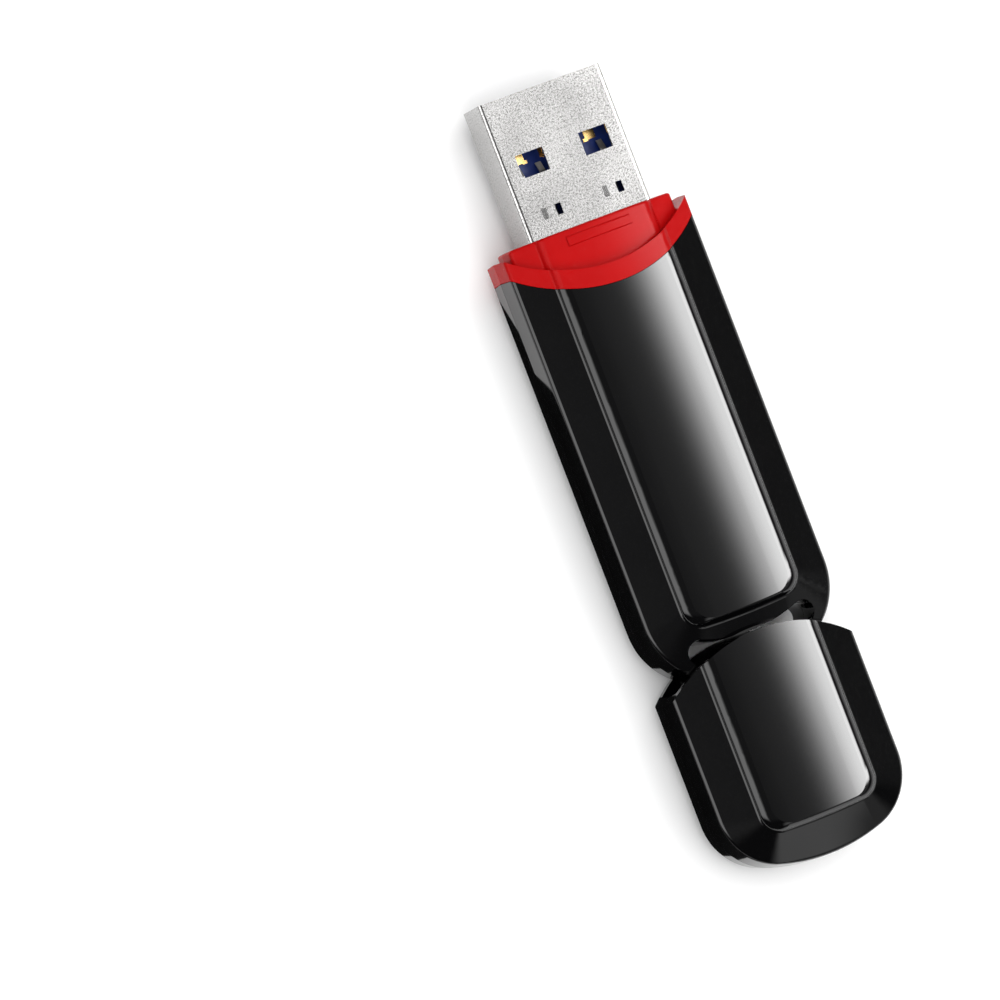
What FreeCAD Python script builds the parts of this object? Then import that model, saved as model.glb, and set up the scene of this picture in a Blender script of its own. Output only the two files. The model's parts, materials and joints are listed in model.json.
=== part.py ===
import FreeCAD, Part
import math
import os

# A USB flash drive with a pull-off cap, shown open, with the cap parked on the tail.
# X runs across the drive, Y points to the plug and Z is up. While the pieces are built, y = 0 is the
# body's mouth at its sides and z = 0 is the seam between the shells. place() moves them to the row frame.

Vector = FreeCAD.Vector

# Case: outer section, the same for body, collar flange and cap.
case_width = 18.2
case_thickness = 9.0
band_draft = 0.15            # how far the side band leans in from the seam to the crease
shoulder_run = 3.25          # crease to the foot of the step, across
shoulder_rise = 1.1
step_run = 0.35              # narrow steep strip round the crowned panel
step_rise = 0.5
crown_rise = 0.4             # panel edge to the panel's middle
crease_round = (0.25, 0.3)  # what a rounded corner takes of the face below it and of the face above it
foot_round = (0.12, 0.12)
panel_round = (0.42, 0.75)
panel_end_round = 0.2        # the same at the panel's end, along the drive
round_steps = 5              # sections or outlines through which a rounded face is drawn
mouth_bow = 3.3              # how far the mouth's curve sets back at the middle
seam_gap = 0.04              # hairline between upper and lower shells
trim_gap = 0.05              # hairline between body and collar flange

# Body.
body_length = 39.2           # mouth at the sides to the tail
body_wall = 1.0
body_corner = 6.5            # tail corners, seen from above
tail_bow = 17.0              # radius of the tail's end curve
tail_slope_run = 5.0         # crease to the foot of the step, along the tail
panel_corner = 1.6
panel_bow = 70.0
tail_block = 7.5             # solid length at the tail, behind the cavity

# Lanyard slot, bar and the catch clipped to the bar.
bar_thickness = 1.3
bar_half_height = 2.2
slot_width = 2.2
slot_length = 12.4
catch_width = 6.2
catch_depth = 1.2
catch_stand_out = 0.15       # how far the catch stands behind the tail
catch_web = 0.6              # bar left behind the catch's notch
catch_fit = 0.04

# Collar.
flange_width = 1.8
boss_step = 0.75             # boss front beyond the flange at the sides
boss_round = 0.25            # radius round the boss's front
boss_fit = 0.3               # boss to the cap's inner wall
boss_step_fit = 0.2          # the same beside the panel, which keeps the boss's panel as wide as the case's
ridge_fit = 0.15             # snap ridge to the cap's inner wall
ridge_width = 6.2
ridge_depth = 0.9
spigot_length = 2.2          # behind the flange's middle
spigot_fit = 0.25
plug_hole_gap = 0.05
hole_corner = 0.4

# Cap.
cap_length = 17.4            # mouth at the sides to the end
cap_wall = 0.75
cap_step_wall = 0.45         # wall at the step, thinner to clear the boss
cap_end_wall = 1.1
cap_corner = 5.75
cap_slope_run = 3.25
groove_from_mouth = 3.0
groove_depth = 0.2
groove_play = 0.25
cap_relief = 0.3             # gap round the cap's lip where it overlaps the tail
vent_width = 1.9
vent_height = 0.5
vent_depth = 0.35

# Plug: USB standard-A outline.
plug_width = 12.0
plug_height = 4.5
plug_sheet = 0.3
plug_corner = 0.4
plug_reach = 12.7            # boss front to plug tip
plug_tail = 3.5              # plug behind the body's mouth
window_width = 2.65
window_length = 2.1
window_from_tip = 5.16
window_offset = 3.1
lance_width = 1.9
lance_length = 1.0
lance_from_tip = 10.25
lance_offset = 3.0
lance_gap = 0.5
lance_drop = 0.22
lance_ramp = 0.55            # sloping part of the tongue, before it levels out
plug_seam = 0.06

# Plastic and contacts in the plug.
insulator_gap = 0.05
insulator_from_tip = 0.5
carrier_length = 4.0
blade_width = 1.0
blade_stem = 0.44
blade_sheet = 0.2
blade_end_from_tip = 5.9
blade_depth = 0.9            # how deep the stems run in the insulator
power_blade_from_tip = 0.9
data_blade_from_tip = 1.9
power_blade_x = 3.5
power_stem_x = 3.0
data_blade_x = 1.0
spring_sheet = 0.15
spring_width = 0.55
spring_pitch = 2.0
spring_count = 5
spring_tip_from_tip = 6.25
spring_bump_from_tip = 7.2
spring_foot_from_tip = 9.2
spring_bump = 0.75
foot_length = 1.4

# Circuit board and what is on it.
board_thickness = 0.8
board_front_gap = 0.4        # plug rear to board
board_side_gap = 0.8
board_end_gap = 0.8
tongue_width = 11.4
tongue_gap = 0.6             # collar's spigot to the board's wide part
support_length = 1.2
support_reach = 1.1          # how far a support reaches in from the cavity wall
support_gap = 0.03
peg_radius = 0.6
peg_height = 1.5
peg_fit = 0.05
peg_x = 6.4
peg_from_cavity = 1.15

# --- Places that follow from the sizes above ---
half_width = case_width / 2
half_thickness = case_thickness / 2
panel_z = half_thickness - crown_rise
shoulder_z = panel_z - step_rise
crease_z = shoulder_z - shoulder_rise
crease_x = half_width - band_draft
mouth_radius = (crease_x ** 2 + mouth_bow ** 2) / (2 * mouth_bow)
body_mouth_centre = mouth_radius - mouth_bow
boss_inset = cap_wall + boss_fit
boss_step_inset = cap_step_wall + boss_step_fit
ridge_inset = cap_wall + ridge_fit
boss_front = flange_width + boss_step
plug_tip = boss_front + plug_reach
plug_rear = -plug_tail
tail_y = -body_length
cavity_end = tail_y + tail_block
tail_bow_centre = tail_y + tail_bow
catch_outer = tail_y - catch_stand_out
catch_inner = catch_outer + catch_depth
catch_middle = (catch_outer + catch_inner) / 2
cap_mouth_middle = catch_middle + groove_from_mouth
cap_end = cap_mouth_middle - mouth_bow - cap_length
cap_mouth_centre = cap_mouth_middle - mouth_radius
ridge_y = flange_width - mouth_bow + groove_from_mouth
spigot_end = -mouth_bow - spigot_length
cavity_half_width = half_width - body_wall
board_front = plug_rear - board_front_gap
wide_front = spigot_end - tongue_gap
board_end = cavity_end + board_end_gap
board_half_width = cavity_half_width - board_side_gap
clear = 5.0                  # overshoot for cutters
row_middle = (plug_tip + cap_end) / 2


def box(x0, x1, y0, y1, z0, z1):
    return Part.makeBox(x1 - x0, y1 - y0, z1 - z0, Vector(x0, y0, z0))


def disc(centre_y, radius):
    """Upright cylinder, taller than the case, used to cut the bowed mouths."""
    height = case_thickness + 2 * clear
    return Part.makeCylinder(radius, height, Vector(0, centre_y, -height / 2))


def mirrored(shape):
    return shape.mirror(Vector(0, 0, 0), Vector(0, 0, 1))


def both_halves(upper):
    return upper.fuse(mirrored(upper)).removeSplitter()


def crossing(line_a, line_b):
    """Point where two lines (point, direction) in the section plane cross."""
    (ax, az), (adx, adz) = line_a
    (bx, bz), (bdx, bdz) = line_b
    t = ((bx - ax) * bdz - (bz - az) * bdx) / (adx * bdz - adz * bdx)
    return (ax + t * adx, az + t * adz)


def profile(inset, step_inset=None):
    """Corners (x, z) of the upper right quarter section, moved in from the outer skin by inset.

    The steep step beside the panel may move in by a different amount.
    """
    insets = [inset, inset, inset if step_inset is None else step_inset, inset]
    corners = [
        (half_width, 0),
        (crease_x, crease_z),
        (crease_x - shoulder_run, shoulder_z),
        (crease_x - shoulder_run - step_run, panel_z),
        (0, half_thickness),
    ]
    lines = [((0, 0), (1, 0))]
    for (px, pz), (qx, qz), moved in zip(corners, corners[1:], insets):
        dx = qx - px
        dz = qz - pz
        length = math.hypot(dx, dz)
        lines.append(((px - dz / length * moved, pz + dx / length * moved), (dx, dz)))
    return [crossing(a, b) for a, b in zip(lines, lines[1:])]


def crown_start(edge, top_z):
    """Point (x, z) on the crown's arc where the rounding of the panel's edge ends."""
    edge_x, edge_z = edge
    rise = top_z - edge_z
    radius = (edge_x ** 2 + rise ** 2) / (2 * rise)
    x = edge_x - panel_round[1]
    return (x, top_z - radius + math.sqrt(radius ** 2 - x ** 2))


def rounded_corners(levels):
    """Start, corner and end of the rounding at each of the three corners between the seam and the crown.

    A level is a list that starts with its x and z. Whatever follows is rounded in the same shares.
    """
    result = []
    corner_rounds = [crease_round, foot_round, panel_round]
    for before, corner, after, takes in zip(levels, levels[1:], levels[2:], corner_rounds):
        ends = []
        for other, take in zip((before, after), takes):
            share = min(take / math.hypot(other[0] - corner[0], other[1] - corner[1]), 1)
            ends.append([c + (o - c) * share for c, o in zip(corner, other)])
        result.append((ends[0], corner, ends[1]))
    return result


def section_wire(inset, step_inset, y):
    """Upper half of the case section as a wire across the drive, with the crown as an arc."""
    corners = profile(inset, step_inset)
    corners.append(crown_start(corners[-1], half_thickness - inset))
    first = Vector(corners[0][0], y, corners[0][1])
    reached = first
    right = []
    for bend in rounded_corners(corners):
        start, corner, end = [Vector(x, y, z) for x, z in bend]
        curve = Part.BezierCurve()
        curve.setPoles([start, corner, end])
        right += [Part.makeLine(reached, start), curve.toShape()]
        reached = end
    left = [edge.mirror(Vector(0, 0, 0), Vector(1, 0, 0)) for edge in reversed(right)]
    far = Vector(-reached.x, y, reached.z)
    crown = Part.Arc(reached, Vector(0, y, half_thickness - inset), far).toShape()
    base = Part.makeLine(Vector(-first.x, y, first.z), first)
    return Part.Wire(right + [crown] + left + [base])


def half_core(inset, y0, y1, step_inset=None):
    face = Part.Face(section_wire(inset, step_inset, y0))
    return face.extrude(Vector(0, y1 - y0, 0))


def half_boss(y0, y1):
    """The boss under the cap's wall, with its front edge rounded."""
    wires = [section_wire(boss_inset, boss_step_inset, y0)]
    for i in range(round_steps + 1):
        turn = math.pi / 2 * i / round_steps
        deeper = boss_round * (1 - math.cos(turn))
        y = y1 - boss_round + boss_round * math.sin(turn)
        wires.append(section_wire(boss_inset + deeper, boss_step_inset + deeper, y))
    return Part.makeLoft(wires, True, True)


def outline(half, front_y, end_y, corner, bow, z):
    """Plan outline at height z: straight front and sides, rounded corners and a bowed end."""
    bow_y = end_y + bow
    corner_x = half - corner
    corner_y = bow_y - math.sqrt((bow - corner) ** 2 - corner_x ** 2)
    reach = bow / (bow - corner)
    touch = Vector(corner_x * reach, bow_y + (corner_y - bow_y) * reach, z)
    slant = math.atan2(touch.y - corner_y, touch.x - corner_x) / 2
    knee = Vector(corner_x + corner * math.cos(slant), corner_y + corner * math.sin(slant), z)
    side = Vector(half, corner_y, z)
    front = Vector(half, front_y, z)
    flip = [Vector(-p.x, p.y, z) for p in (front, side, knee, touch)]
    return Part.Wire([
        Part.makeLine(front, flip[0]),
        Part.makeLine(flip[0], flip[1]),
        Part.Arc(flip[1], flip[2], flip[3]).toShape(),
        Part.Arc(flip[3], Vector(0, end_y, z), touch).toShape(),
        Part.Arc(touch, knee, side).toShape(),
        Part.makeLine(side, front),
    ])


def half_form(front_y, end_y, corner, slope_run, inset, step_inset=None):
    """Upper half of a case piece: side band, shoulder, step and crowned panel, closed at its end."""
    outer = profile(0)
    inner = profile(inset, step_inset)
    end_runs = [0, band_draft, band_draft + slope_run, band_draft + slope_run + step_run]
    corners = [corner, corner - band_draft, panel_corner + step_run, panel_corner]
    bows = [tail_bow, tail_bow, panel_bow, panel_bow]
    levels = []
    for (ox, oz), (ix, iz), run, radius, bow in zip(outer, inner, end_runs, corners, bows):
        shift = ox - ix
        levels.append([ix, iz, end_y + run + shift, max(radius - shift, radius / 3), bow - shift])
    crown_x, crown_z = crown_start(inner[-1], half_thickness - inset)
    levels.append([crown_x, crown_z, levels[-1][2] + panel_end_round, levels[-1][3], levels[-1][4]])

    def outline_at(level):
        half, z, end, radius, bow = level
        return outline(half, front_y, end, radius, bow, z)

    slabs = []
    below = levels[0]
    for start, bend, end in rounded_corners(levels):
        slabs.append(Part.makeLoft([outline_at(below), outline_at(start)], True, True))
        curved = []
        for i in range(round_steps):
            t = i / (round_steps - 1)
            curved.append(outline_at([(1 - t) ** 2 * a + 2 * t * (1 - t) * c + t * t * b
                                      for a, c, b in zip(start, bend, end)]))
        slabs.append(Part.makeLoft(curved, True, False))
        below = end
    sides = slabs[0].fuse(slabs[1:])
    column = Part.Face(outline_at(below)).extrude(Vector(0, 0, half_thickness))
    crown = half_core(inset, end_y, front_y, step_inset).common(column)
    return sides.fuse(crown).removeSplitter()


def rounded_bar(width, height, radius, y0, y1):
    """Bar along Y with rounded long edges, centred on the seam."""
    bar = box(-width / 2, width / 2, y0, y1, -height / 2, height / 2)
    edges = [e for e in bar.Edges if abs(e.Vertexes[0].Y - e.Vertexes[1].Y) > 1e-6]
    return bar.makeFillet(radius, edges)


def slot_prism():
    """The lanyard slot: curved with the tail, with round ends, right through the tail."""
    middle = tail_bow - bar_thickness - slot_width / 2
    half = slot_width / 2
    turn = math.asin((slot_length / 2 - half) / middle)

    def at(radius, angle):
        return Vector(radius * math.sin(angle), tail_bow_centre - radius * math.cos(angle), -half_thickness)

    def round_end(sign):
        centre = at(middle, sign * turn)
        beyond = centre + Vector(math.cos(turn) * half * sign, math.sin(turn) * half, 0)
        return beyond

    outer = [at(middle + half, a) for a in (-turn, 0, turn)]
    inner = [at(middle - half, a) for a in (turn, 0, -turn)]
    wire = Part.Wire([
        Part.Arc(outer[0], outer[1], outer[2]).toShape(),
        Part.Arc(outer[2], round_end(1), inner[0]).toShape(),
        Part.Arc(inner[0], inner[1], inner[2]).toShape(),
        Part.Arc(inner[2], round_end(-1), outer[0]).toShape(),
    ])
    return Part.Face(wire).extrude(Vector(0, 0, case_thickness))


def seam_slab():
    """Thin slab that leaves the hairline between two shells."""
    reach = half_width + clear
    return box(-reach, reach, cap_end - clear, plug_tip, -seam_gap / 2, seam_gap / 2)


def supports(low, high):
    """Short ribs on both cavity walls that hold the board's edges, between two heights."""
    inner_x = cavity_half_width - support_reach
    room = half_core(body_wall / 2, board_end, board_front)
    spread = wide_front - board_end - support_length
    ribs = []
    for share in (0.12, 0.5, 0.88):
        y = board_end + spread * share
        for side in (-1, 1):
            x0, x1 = sorted((side * inner_x, side * half_width))
            ribs.append(box(x0, x1, y, y + support_length, low, high).common(room))
    return ribs


def pegs(radius, height):
    y = cavity_end - peg_from_cavity
    return [Part.makeCylinder(radius, height, Vector(side * peg_x, y, 0)) for side in (-1, 1)]


def body_half():
    """One body shell, as the upper half, without its supports and pegs."""
    shell = half_form(clear, tail_y, body_corner, tail_slope_run, 0)
    shell = shell.cut(disc(body_mouth_centre, mouth_radius))
    shell = shell.cut(half_core(body_wall, cavity_end, 2 * clear))
    shell = shell.cut(slot_prism())
    lip = disc(cap_mouth_centre, mouth_radius + cap_relief)
    above_bar = box(-half_width, half_width, tail_y - clear, cavity_end, bar_half_height, case_thickness)
    shell = shell.cut(lip.common(above_bar))
    half_notch = catch_width / 2 + catch_fit
    notch_y = tail_y + bar_thickness - catch_web
    return shell.cut(box(-half_notch, half_notch, tail_y - clear, notch_y, -clear, clear))


def upper_shell():
    shell = body_half().fuse(supports(support_gap, half_thickness))
    holes = pegs(peg_radius + peg_fit, peg_height + 2 * peg_fit)
    return shell.cut(holes).cut(seam_slab()).removeSplitter()


def lower_shell():
    shell = body_half().fuse(supports(board_thickness + support_gap, half_thickness))
    shell = mirrored(shell.cut(seam_slab()))
    return shell.fuse(pegs(peg_radius, peg_height) + [
        mirrored(peg) for peg in pegs(peg_radius, seam_gap)
    ]).removeSplitter()


def tail_catch():
    """Clip round the outer side of the lanyard bar, with a ridge that enters the cap's groove."""
    half = catch_width / 2
    block = half_core(boss_inset, catch_outer, catch_inner)
    ridge = half_core(ridge_inset, catch_middle - ridge_depth / 4, catch_middle + ridge_depth / 4)
    block = block.fuse(ridge).common(box(-half, half, catch_outer, catch_inner, 0, half_thickness))
    recess_y = tail_y + bar_thickness - catch_web - catch_fit
    bar_room = bar_half_height + catch_fit
    return both_halves(block.cut(box(-half, half, recess_y, catch_inner, 0, bar_room)))


def collar():
    """Red collar: flange flush with the case, boss for the cap in front, spigot in the body behind."""
    flange = half_form(clear, -clear - mouth_bow, 1, 1, 0)
    flange = flange.common(disc(body_mouth_centre, mouth_radius - trim_gap))
    flange = flange.cut(disc(body_mouth_centre + flange_width, mouth_radius))
    boss = half_boss(-mouth_bow, boss_front)
    boss = boss.common(disc(body_mouth_centre + flange_width / 2, mouth_radius))
    spigot = half_core(body_wall + spigot_fit, spigot_end, flange_width / 2)
    half = ridge_width / 2
    y0 = ridge_y - ridge_depth / 2
    y1 = ridge_y + ridge_depth / 2
    ridge = half_core(ridge_inset, y0, y1).common(box(-half, half, y0, y1, 0, half_thickness))
    top = [e for e in ridge.Edges if e.BoundBox.ZMin > shoulder_z - ridge_inset and e.BoundBox.YLength < 1e-6]
    ridge = ridge.makeFillet((boss_inset - ridge_inset) * 0.9, [e for e in top if e.BoundBox.XLength > half])
    half_collar = flange.fuse([boss, spigot, ridge])
    hole = rounded_bar(plug_width + 2 * plug_hole_gap, plug_height + 2 * plug_hole_gap,
                       hole_corner, spigot_end - clear, boss_front + clear)
    return both_halves(half_collar).cut(hole)


def cap_half():
    """One cap shell, as the upper half, parked with its mouth towards the body's tail."""
    front = cap_mouth_middle + clear
    keep = disc(cap_mouth_centre, mouth_radius)
    keep = keep.fuse(box(-half_width, half_width, cap_end, cap_mouth_centre, -half_thickness, half_thickness))
    shell = half_form(front, cap_end, cap_corner, cap_slope_run, 0).common(keep)
    inner_end = cap_end + cap_end_wall - cap_wall
    shell = shell.cut(half_form(front, inner_end, cap_corner, cap_slope_run, cap_wall, cap_step_wall))
    groove_half = ridge_width / 2 + groove_play
    groove_y = cap_mouth_middle - groove_from_mouth
    groove_reach = ridge_depth / 2 + groove_play
    shell = shell.cut(box(-groove_half, groove_half, groove_y - groove_reach, groove_y + groove_reach,
                          0, half_thickness - cap_wall + groove_depth))
    radius = vent_height / 2
    flat = vent_width / 2 - radius
    vent = [box(-flat, flat, cap_end, cap_end + vent_depth, -radius, radius)]
    for x in (-flat, flat):
        vent.append(Part.makeCylinder(radius, vent_depth, Vector(x, cap_end, 0), Vector(0, 1, 0)))
    return shell.cut(vent).cut(seam_slab())


def lance_box(side, margin, z0, z1):
    """Room round one lance, between two heights."""
    x = side * lance_offset
    y = plug_tip - lance_from_tip
    half = lance_width / 2 + margin
    return box(x - half, x + half, y - lance_length - margin, y + margin, z0, z1)


def lance_tongue(x, y):
    """Sheet pressed inwards from one side of its opening, so that it stands open at the other."""
    root = x - lance_width / 2
    bend = root + lance_ramp
    tip = x + lance_width / 2 - lance_gap
    top = plug_height / 2
    low = top - lance_drop
    face = [(root, top), (bend, low), (tip, low)]
    corners = face + [(px, pz - plug_sheet) for px, pz in reversed(face)]
    points = [Vector(px, y - lance_length, pz) for px, pz in corners]
    return Part.Face(Part.makePolygon(points + [points[0]])).extrude(Vector(0, lance_length, 0))


def plug_shell():
    """Folded steel sheet with windows and lances above and below, and its seam underneath."""
    shell = rounded_bar(plug_width, plug_height, plug_corner, plug_rear, plug_tip)
    hollow = rounded_bar(plug_width - 2 * plug_sheet, plug_height - 2 * plug_sheet,
                         plug_corner - plug_sheet, plug_rear - clear, plug_tip + clear)
    shell = shell.cut(hollow)
    high = plug_height
    for side in (-1, 1):
        x = side * window_offset
        y = plug_tip - window_from_tip
        shell = shell.cut(box(x - window_width / 2, x + window_width / 2, y - window_length, y, -high, high))
        shell = shell.cut(lance_box(side, 0, -high, high))
        tongue = lance_tongue(side * lance_offset, plug_tip - lance_from_tip)
        shell = shell.fuse([tongue, mirrored(tongue)])
    seam = box(-plug_seam / 2, plug_seam / 2, plug_rear, plug_tip, -plug_height, 0)
    return shell.cut(seam)


def strip(points, thickness, x, width):
    """Bent metal strip: a line of (y, z) points with a thickness, drawn out across X."""
    left = []
    right = []
    for i, (y, z) in enumerate(points):
        before = points[max(i - 1, 0)]
        after = points[min(i + 1, len(points) - 1)]
        into = Vector(0, y - before[0], z - before[1])
        out = Vector(0, after[0] - y, after[1] - z)
        if into.Length > 0:
            into.normalize()
        if out.Length > 0:
            out.normalize()
        along = into + out
        along.normalize()
        normal = Vector(0, -along.z, along.y)
        level = out if out.Length > 0 else into
        mitre = thickness / 2 / max(along.dot(level), 0.5)
        middle = Vector(x - width / 2, y, z)
        left.append(middle + normal * mitre)
        right.append(middle - normal * mitre)
    loop = left + right[::-1]
    return Part.Face(Part.makePolygon(loop + [loop[0]])).extrude(Vector(width, 0, 0))


def blade_contact(from_tip, blade_x, stem_x):
    """Flat contact: a blade on the insulator, a stem buried in it and a foot on the board."""
    flat_end = plug_tip - blade_end_from_tip
    blade = strip([(plug_tip - from_tip, 0), (flat_end, 0)], blade_sheet, blade_x, blade_width)
    rise_y = (plug_rear + board_front) / 2
    foot_z = blade_sheet / 2
    stem = strip([
        (flat_end + blade_sheet, 0),
        (flat_end, 0),
        (flat_end, -blade_depth),
        (rise_y, -blade_depth),
        (rise_y, foot_z),
        (board_front - foot_length, foot_z),
    ], blade_sheet, stem_x, blade_stem)
    return blade.fuse(stem).removeSplitter()


def spring_contact(x):
    """Springy contact: it rises to a rounded bump and its tip turns back down."""
    rest_z = spring_sheet / 2
    return strip([
        (plug_tip - spring_tip_from_tip, rest_z + spring_bump / 3),
        (plug_tip - spring_bump_from_tip + spring_sheet, spring_bump),
        (plug_tip - spring_bump_from_tip - spring_sheet, spring_bump),
        (plug_tip - spring_foot_from_tip, rest_z),
        (board_front - foot_length, rest_z),
    ], spring_sheet, x, spring_width)


def plug_plastic(y0, y1):
    gap = plug_sheet + insulator_gap
    return rounded_bar(plug_width - 2 * gap, plug_height - 2 * gap, plug_corner - plug_sheet, y0, y1)


def plug_insulator(contacts):
    full = plug_plastic(plug_rear, plug_tip - insulator_from_tip)
    reach = plug_width
    lower = full.common(box(-reach, reach, plug_rear, plug_tip, -plug_height, 0))
    pocket_z = -plug_height / 2 + plug_sheet + lance_drop + insulator_gap
    pockets = [lance_box(side, insulator_gap, -plug_height, pocket_z) for side in (-1, 1)]
    return lower.cut(contacts + pockets)


def terminal_carrier():
    full = plug_plastic(plug_rear, plug_rear + carrier_length)
    reach = plug_width
    floor = spring_sheet + insulator_gap
    return full.common(box(-reach, reach, plug_rear, plug_tip, floor, plug_height))


def circuit_board():
    half_tongue = tongue_width / 2
    wide = box(-board_half_width, board_half_width, board_end, wide_front, -board_thickness, 0)
    tongue = box(-half_tongue, half_tongue, wide_front, board_front, -board_thickness, 0)
    return wide.fuse(tongue).removeSplitter()


# Parts soldered to the board, with the makers' package sizes. Lengths along y are from the board's wide end.
flash_length = 18.4
flash_width = 12.0
flash_height = 1.0
flash_lift = 0.1
flash_from_end = 1.2
flash_lead_span = 20.0
flash_lead_pitch = 0.5
flash_lead_width = 0.22
flash_lead_sheet = 0.14
flash_leads_per_end = 24
chip_size = 7.0
chip_height = 0.85
chip_from_front = 7.0
crystal_size = (3.2, 2.5, 0.8)
crystal_from_front = 12.6
small_from_front = 1.6
inductor_size = (2.5, 2.0, 1.0)
regulator_size = (2.9, 1.6, 1.1)
capacitor_size = (1.0, 0.5, 0.5)
resistor_size = (1.0, 0.5, 0.35)
flash_middle = board_end + flash_from_end + flash_length / 2


def package(size, x, y):
    """Small block standing on the board's upper face."""
    width, length, height = size
    return box(x - width / 2, x + width / 2, y - length / 2, y + length / 2, 0, height)


def flash_memory():
    top = -board_thickness - flash_lift
    return box(-flash_width / 2, flash_width / 2, flash_middle - flash_length / 2,
               flash_middle + flash_length / 2, top - flash_height, top)


def flash_leads():
    """Gull-wing leads at both ends of the memory package."""
    leads = []
    middle_z = -board_thickness - flash_lift - flash_height / 2
    foot_z = -board_thickness - flash_lead_sheet / 2
    first_x = -flash_lead_pitch * (flash_leads_per_end - 1) / 2
    shin = (flash_lead_span - flash_length) / 4
    for end in (-1, 1):
        y = flash_middle + end * flash_length / 2
        points = [(y, middle_z), (y + end * shin, middle_z), (y + end * shin * 1.3, foot_z),
                  (y + end * shin * 2, foot_z)]
        for i in range(flash_leads_per_end):
            leads.append(strip(points, flash_lead_sheet, first_x + i * flash_lead_pitch, flash_lead_width))
    return Part.makeCompound(leads)


def capacitors():
    spots = [(-5.2, 0.9), (-5.2, 1.9), (5.3, 0.9), (5.3, 1.9),
             (-5.0, 5.4), (-5.0, 7.0), (-5.0, 8.6), (5.0, 5.4)]
    return Part.makeCompound([package(capacitor_size, x, wide_front - back) for x, back in spots])


def resistors():
    spots = [(5.0, 7.0), (5.0, 8.6), (-4.6, 12.0), (-4.6, 13.0), (4.6, 12.0)]
    return Part.makeCompound([package(resistor_size, x, wide_front - back) for x, back in spots])


def place(shape):
    """Move from the building frame to the row frame, whose origin is under the open drive's middle."""
    moved = shape.copy()
    moved.translate(Vector(0, -row_middle, half_thickness))
    return moved


def build():
    contacts = {
        "contact_vbus": blade_contact(power_blade_from_tip, power_blade_x, power_stem_x),
        "contact_data_minus": blade_contact(data_blade_from_tip, data_blade_x, data_blade_x),
        "contact_data_plus": blade_contact(data_blade_from_tip, -data_blade_x, -data_blade_x),
        "contact_ground": blade_contact(power_blade_from_tip, -power_blade_x, -power_stem_x),
    }
    blades = list(contacts.values())
    for i in range(spring_count):
        x = (i - (spring_count - 1) / 2) * spring_pitch
        contacts["superspeed_contact_%d" % (i + 1)] = spring_contact(x)
    cap_upper = cap_half()
    nodes = {
        "upper_shell": upper_shell(),
        "lower_shell": lower_shell(),
        "tail_catch": tail_catch(),
        "collar": collar(),
        "plug_shell": plug_shell(),
        "plug_insulator": plug_insulator(blades),
        "terminal_carrier": terminal_carrier(),
        "circuit_board": circuit_board(),
        "flash_memory": flash_memory(),
        "flash_leads": flash_leads(),
        "controller_chip": package((chip_size, chip_size, chip_height), 0, wide_front - chip_from_front),
        "crystal_oscillator": package(crystal_size, 0, wide_front - crystal_from_front),
        "power_inductor": package(inductor_size, 2.2, wide_front - small_from_front),
        "voltage_regulator": package(regulator_size, -2.2, wide_front - small_from_front),
        "capacitors": capacitors(),
        "resistors": resistors(),
        "cap_upper_shell": cap_upper,
        "cap_lower_shell": mirrored(cap_upper),
    }
    nodes.update(contacts)
    return nodes


def main():
    os.makedirs("parts", exist_ok=True)
    for name, shape in build().items():
        place(shape).exportStep("parts/%s.step" % name)


main()
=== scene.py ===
"""Looks of the USB flash drive: materials, studio and camera. Metres, in the row frame."""
import json
import math

import bpy
from mathutils import Matrix, Vector


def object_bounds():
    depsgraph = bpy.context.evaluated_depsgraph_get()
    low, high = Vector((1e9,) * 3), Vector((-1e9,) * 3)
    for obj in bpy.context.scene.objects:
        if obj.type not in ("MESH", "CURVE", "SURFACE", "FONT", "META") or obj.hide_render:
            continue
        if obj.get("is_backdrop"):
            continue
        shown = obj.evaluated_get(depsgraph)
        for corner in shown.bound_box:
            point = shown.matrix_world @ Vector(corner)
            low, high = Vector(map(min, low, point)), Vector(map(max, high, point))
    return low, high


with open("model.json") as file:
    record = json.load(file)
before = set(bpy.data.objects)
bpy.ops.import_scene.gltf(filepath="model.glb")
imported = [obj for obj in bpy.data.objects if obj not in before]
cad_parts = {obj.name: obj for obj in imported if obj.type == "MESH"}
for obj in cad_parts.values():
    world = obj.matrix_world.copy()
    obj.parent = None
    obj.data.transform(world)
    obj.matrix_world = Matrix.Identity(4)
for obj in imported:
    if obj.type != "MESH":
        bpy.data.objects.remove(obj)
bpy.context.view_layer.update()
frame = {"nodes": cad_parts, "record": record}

MM = 0.001


# --- Node helpers -------------------------------------------------------------------------------

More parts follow.
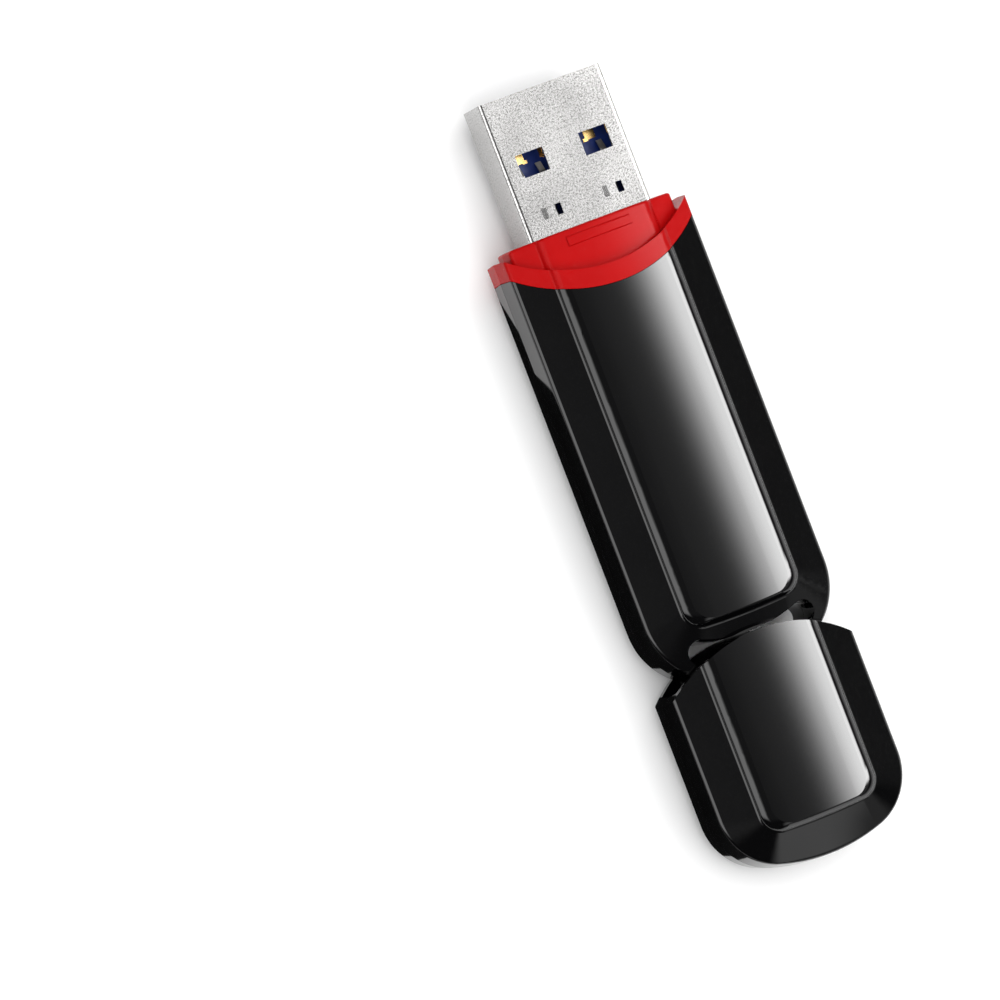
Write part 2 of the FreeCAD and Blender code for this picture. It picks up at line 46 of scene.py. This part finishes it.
class Nodes:
    """A material being built: adds nodes and wires them by socket name."""

    def __init__(self, name):
        self.material = bpy.data.materials.new(name)
        self.material.use_nodes = True
        self.tree = self.material.node_tree
        self.shader = self.tree.nodes["Principled BSDF"]
        self.place = self.add("ShaderNodeTexCoord").outputs["Object"]

    def add(self, kind):
        return self.tree.nodes.new(kind)

    def link(self, source, target):
        self.tree.links.new(source, target)

    def fixed(self, **values):
        """Constant values, set on the shader's own sockets."""
        for key, value in values.items():
            self.shader.inputs[key.replace("_", " ")].default_value = value

    def scaled_place(self, scale):
        mapping = self.add("ShaderNodeMapping")
        mapping.inputs["Scale"].default_value = scale
        self.link(self.place, mapping.inputs["Vector"])
        return mapping.outputs["Vector"]

    def noise(self, scale, detail=3.0, roughness=0.5, stretch=(1, 1, 1)):
        node = self.add("ShaderNodeTexNoise")
        node.inputs["Scale"].default_value = scale
        node.inputs["Detail"].default_value = detail
        node.inputs["Roughness"].default_value = roughness
        self.link(self.scaled_place(stretch), node.inputs["Vector"])
        return node.outputs["Fac"]

    def vary(self, socket, pattern, stops):
        """Wires a pattern to one of the shader's sockets through a colour ramp.

        The stops are (position, colour), and a number stands for a grey.
        """
        node = self.add("ShaderNodeValToRGB")
        ramp = node.color_ramp
        while len(ramp.elements) < len(stops):
            ramp.elements.new(0.5)
        for element, (position, colour) in zip(ramp.elements, stops):
            if not isinstance(colour, tuple):
                colour = (colour, colour, colour)
            element.position = position
            element.color = (*colour, 1)
        self.link(pattern, node.inputs["Fac"])
        self.link(node.outputs["Color"], self.shader.inputs[socket])

    def bump(self, height, strength, distance):
        node = self.add("ShaderNodeBump")
        node.inputs["Strength"].default_value = strength
        node.inputs["Distance"].default_value = distance
        self.link(height, node.inputs["Height"])
        self.link(node.outputs["Normal"], self.shader.inputs["Normal"])


def spread(low, high, start=0.3, end=0.7):
    """Ramp stops that take a noise's values from start to end over the range from low to high."""
    return [(start, low), (end, high)]


# --- Materials ----------------------------------------------------------------------------------

def gloss_plastic(name, deep, bright, roughness, wave, shine=0.5):
    """Moulded gloss plastic: slight drift of colour and gloss, and a faint orange peel."""
    rough_spots = 1.9           # roughness of the dullest spots, as a share of the usual one
    peel_depth = 0.01 * MM
    n = Nodes(name)
    n.fixed(IOR=1.5, Specular_IOR_Level=shine)
    n.vary("Base Color", n.noise(scale=180, detail=2), spread(deep, bright))
    n.vary("Roughness", n.noise(scale=2600, detail=4, roughness=0.6),
           spread(roughness, roughness * rough_spots, start=0.35, end=0.75))
    n.bump(n.noise(scale=700, detail=2), wave, peel_depth)
    return n.material


def plated_steel(name, pit, shade, bright, roughness, roughest):
    """Nickel-plated sheet with a sand-like grain and a few dark pits."""
    grain_strength = 0.5
    grain_depth = 0.006 * MM
    n = Nodes(name)
    n.fixed(Metallic=1.0)
    grain = n.noise(scale=5000, detail=3, roughness=0.6)
    pits = n.noise(scale=6500, detail=2)
    cloud = n.noise(scale=240)
    n.vary("Base Color", pits, [(0.30, pit), (0.48, shade), (0.7, bright)])
    n.vary("Roughness", cloud, spread(roughness, roughest, start=0.35, end=0.65))
    n.bump(grain, grain_strength, grain_depth)
    return n.material


def satin_plastic(name, deep, bright, roughness=0.42):
    """Moulded plastic, laminate or ceramic with a satin or matt face."""
    rough_rise = 0.12           # what the dullest spots add to the roughness
    grain_strength = 0.2
    grain_depth = 0.01 * MM
    n = Nodes(name)
    n.vary("Base Color", n.noise(scale=900), spread(deep, bright, start=0.35, end=0.65))
    n.vary("Roughness", n.noise(scale=2000, detail=2), spread(roughness, roughness + rough_rise))
    n.bump(n.noise(scale=3000, detail=2), grain_strength, grain_depth)
    return n.material


def bright_metal(name, deep, bright, roughness):
    """Rolled strip, with its colour streaked along Y."""
    rolled = (1, 0.08, 1)
    rough_spots = 1.6           # roughness of the dullest spots, as a share of the usual one
    n = Nodes(name)
    n.fixed(Metallic=1.0)
    n.vary("Base Color", n.noise(scale=1500, roughness=0.6, stretch=rolled), spread(deep, bright))
    n.vary("Roughness", n.noise(scale=1200, detail=2), spread(roughness, roughness * rough_spots))
    return n.material


def matt_paper(name, deep, bright):
    """Matt sheet for the studio, a little uneven in tone."""
    n = Nodes(name)
    n.fixed(Roughness=0.9)
    n.vary("Base Color", n.noise(scale=30, detail=2), spread(deep, bright))
    return n.material


FINISHES = {
    "shell_plastic": (gloss_plastic, {
        "deep": (0.0010, 0.0010, 0.0012), "bright": (0.0016, 0.0016, 0.0018),
        "roughness": 0.045, "wave": 0.02}),
    "cap_plastic": (gloss_plastic, {
        "deep": (0.0009, 0.0009, 0.0011), "bright": (0.0015, 0.0015, 0.0017),
        "roughness": 0.05, "wave": 0.02}),
    "catch_plastic": (gloss_plastic, {
        "deep": (0.0016, 0.0016, 0.0018), "bright": (0.0026, 0.0026, 0.0028),
        "roughness": 0.12, "wave": 0.05}),
    "collar_plastic": (gloss_plastic, {
        "deep": (0.36, 0.0030, 0.0036), "bright": (0.40, 0.0036, 0.0042),
        "roughness": 0.16, "wave": 0.02, "shine": 0.06}),
    "plug_steel": (plated_steel, {
        "pit": (0.20, 0.195, 0.19), "shade": (0.42, 0.415, 0.41), "bright": (0.50, 0.495, 0.49),
        "roughness": 0.15, "roughest": 0.19}),
    "insulator_plastic": (satin_plastic, {
        "deep": (0.0004, 0.008, 0.075), "bright": (0.0008, 0.014, 0.12)}),
    "spring_metal": (bright_metal, {
        "deep": (0.30, 0.29, 0.28), "bright": (0.42, 0.41, 0.40), "roughness": 0.30}),
    "contact_gold": (bright_metal, {
        "deep": (0.80, 0.50, 0.16), "bright": (0.95, 0.66, 0.28), "roughness": 0.18}),
    "board_laminate": (satin_plastic, {
        "deep": (0.01, 0.07, 0.03), "bright": (0.02, 0.11, 0.045)}),
    "chip_resin": (satin_plastic, {
        "deep": (0.012, 0.012, 0.012), "bright": (0.022, 0.022, 0.022), "roughness": 0.6}),
    "lead_metal": (bright_metal, {
        "deep": (0.62, 0.62, 0.61), "bright": (0.78, 0.78, 0.77), "roughness": 0.25}),
    "capacitor_ceramic": (satin_plastic, {
        "deep": (0.28, 0.19, 0.11), "bright": (0.38, 0.27, 0.16), "roughness": 0.5}),
}
MATERIALS = {slot: make(slot, **look) for slot, (make, look) in FINISHES.items()}
SLOT_OF = {row["node"]: row["material_slot"] for row in frame["record"]["subparts"]}


def dress_nodes():
    for node, piece in frame["nodes"].items():
        piece.data.materials.clear()
        piece.data.materials.append(MATERIALS[SLOT_OF[node]])


# --- Studio -------------------------------------------------------------------------------------

def level_sheet(name, outline, height, material):
    mesh = bpy.data.meshes.new(name)
    mesh.from_pydata([(x, y, height) for x, y in outline], [], [tuple(range(len(outline)))])
    mesh.materials.append(material)
    sheet = bpy.data.objects.new(name, mesh)
    bpy.context.scene.collection.objects.link(sheet)
    return sheet


def studio_floor():
    reach = 4.0
    corners = [(-reach, -reach), (reach, -reach), (reach, reach), (-reach, reach)]
    floor = level_sheet("floor", corners, 0, matt_paper("floor_paper", 0.92, 0.94))
    floor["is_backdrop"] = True


def painted_dark_reflection_card():
    """Dark card on the floor at -X, seen only in reflections: a painted dark reflection, standing in
    for the shade on the floor beside the drive and for a neighbouring drive that is not built.

    It keeps the -X side of the case dark. Its outline was shaped for the edge of the
    pale patch on the side band, and is no object's outline.
    """
    outline = [(-60, -50), (-8, -50), (-8, 21), (-9.4, 19.5), (-10.6, 13.5), (-12.2, 10.5), (-60, 4)]
    height = 0.3 * MM
    corners = [(x * MM, y * MM) for x, y in outline]
    # Painted dark reflection: a sheet seen only in reflections, standing in for shade on the floor
    # at -X.
    card = level_sheet("dark_card", corners, height, matt_paper("dark_card", 0.004, 0.006))
    card.visible_camera = False
    card.visible_diffuse = False
    card.visible_shadow = False
    card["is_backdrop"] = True


def studio_dome():
    """World light for reflections, off for diffuse light: dark overhead, soft boxes, a low glow.

    Angles are degrees from overhead: across grows towards +X, along towards +Y.
    """
    box_strength = 18.0         # long box at +X
    box_falloff = 3.5           # power that fades its inner edge
    box_spill = 0.02            # share of it left past its ends
    glow_overhead, glow_beside_box = 0.1, 0.45
    side_strength = 3.0         # box at -X
    tail_strength = 1.2         # small box above the tail
    tail_middle = 18            # its middle, across
    low_glow_strength = 1.6     # near the horizon at +X
    darkest = 0.03

    world = bpy.data.worlds.new("studio")
    bpy.context.scene.world = world
    world.use_nodes = True
    tree = world.node_tree
    nodes = tree.nodes
    background = nodes["Background"]

    def maths(operation, *values):
        node = nodes.new("ShaderNodeMath")
        node.operation = operation
        for socket, value in zip(node.inputs, values):
            if isinstance(value, (int, float)):
                socket.default_value = value
            else:
                tree.links.new(value, socket)
        return node.outputs[0]

    def chain(operation, first, *others):
        for value in others:
            first = maths(operation, first, value)
        return first

    def between(value, low, high, start, end):
        node = nodes.new("ShaderNodeMapRange")
        node.interpolation_type = "SMOOTHSTEP"
        numbers = {"From Min": low, "From Max": high, "To Min": start, "To Max": end}
        for key, number in numbers.items():
            node.inputs[key].default_value = number
        tree.links.new(value, node.inputs["Value"])
        return node.outputs["Result"]

    def rise(angle, low, high, top=1):
        return between(angle, low, high, 0, top)

    def fall(angle, low, high, bottom=0):
        return between(angle, low, high, 1, bottom)

    def degrees_from_overhead(direction, upward):
        return maths("MULTIPLY", maths("ARCTAN2", direction, upward), 180 / math.pi)

    split = nodes.new("ShaderNodeSeparateXYZ")
    tree.links.new(nodes.new("ShaderNodeTexCoord").outputs["Generated"], split.inputs[0])
    x, y, z = split.outputs
    across = degrees_from_overhead(x, z)
    along = degrees_from_overhead(y, z)
    off_middle = maths("ABSOLUTE", along)
    off_tail_middle = maths("ABSOLUTE", maths("SUBTRACT", across, tail_middle))

    box = chain("MULTIPLY", maths("POWER", rise(across, 8, 37), box_falloff),
                fall(across, 46, 54), box_strength)
    glow = maths("MULTIPLY", between(across, 0, 20, glow_overhead, glow_beside_box),
                 fall(across, 50, 60))
    box_and_glow = maths("MULTIPLY", maths("ADD", box, glow),
                         fall(off_middle, 12, 24, bottom=box_spill))
    side_box = chain("MULTIPLY", rise(across, -80, -62), fall(across, -34, -17),
                     fall(off_middle, 12, 30), side_strength)
    tail_box = chain("MULTIPLY", rise(along, -62, -48), fall(along, -36, -26),
                     fall(off_tail_middle, 6, 18), tail_strength)
    low_glow = rise(across, 56, 82, top=low_glow_strength)
    light = chain("ADD", box_and_glow, side_box, tail_box, low_glow, darkest)
    tree.links.new(light, background.inputs["Strength"])
    background.inputs["Color"].default_value = (1, 1, 1, 1)
    world.cycles_visibility.diffuse = False


def overhead_light():
    """Wide soft light above: it lights the floor and the colours, and no reflection shows it."""
    data = bpy.data.lights.new("overhead", "AREA")
    data.shape = "DISK"
    data.size = 2.4
    data.energy = 36
    light = bpy.data.objects.new("overhead", data)
    light.location = (0.1, 0, 1.0)
    light.visible_glossy = False
    bpy.context.scene.collection.objects.link(light)


def studio_camera():
    """Long lens, looking down on the drive from a little towards -X, plug up and to the left."""
    tilt = math.radians(18.4)
    roll = math.radians(21.0)
    distance = 0.645
    lens = 266
    sensor = 36
    aim_left = 0.178            # shares of the frame's width by which the aim leaves the middle
    aim_up = -0.028
    low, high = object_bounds()
    middle = (low + high) / 2
    back = Vector((-math.sin(tilt), 0, math.cos(tilt)))
    side = Vector((math.cos(tilt), 0, math.sin(tilt)))
    ahead = Vector((0, 1, 0))
    right = side * math.cos(roll) - ahead * math.sin(roll)
    up = side * math.sin(roll) + ahead * math.cos(roll)
    width = distance * sensor / lens                        # what the frame spans at the object
    aim = middle - right * aim_left * width + up * aim_up * width
    data = bpy.data.cameras.new("camera")
    data.lens = lens
    data.sensor_width = sensor
    data.clip_end = 20
    camera = bpy.data.objects.new("camera", data)
    bpy.context.scene.collection.objects.link(camera)
    turn = Matrix((right, up, back)).transposed().to_4x4()
    camera.matrix_world = Matrix.Translation(aim + back * distance) @ turn
    bpy.context.scene.camera = camera


dress_nodes()
studio_floor()
studio_dome()
overhead_light()
painted_dark_reflection_card()
studio_camera()
bpy.context.scene.view_settings.view_transform = "Standard"
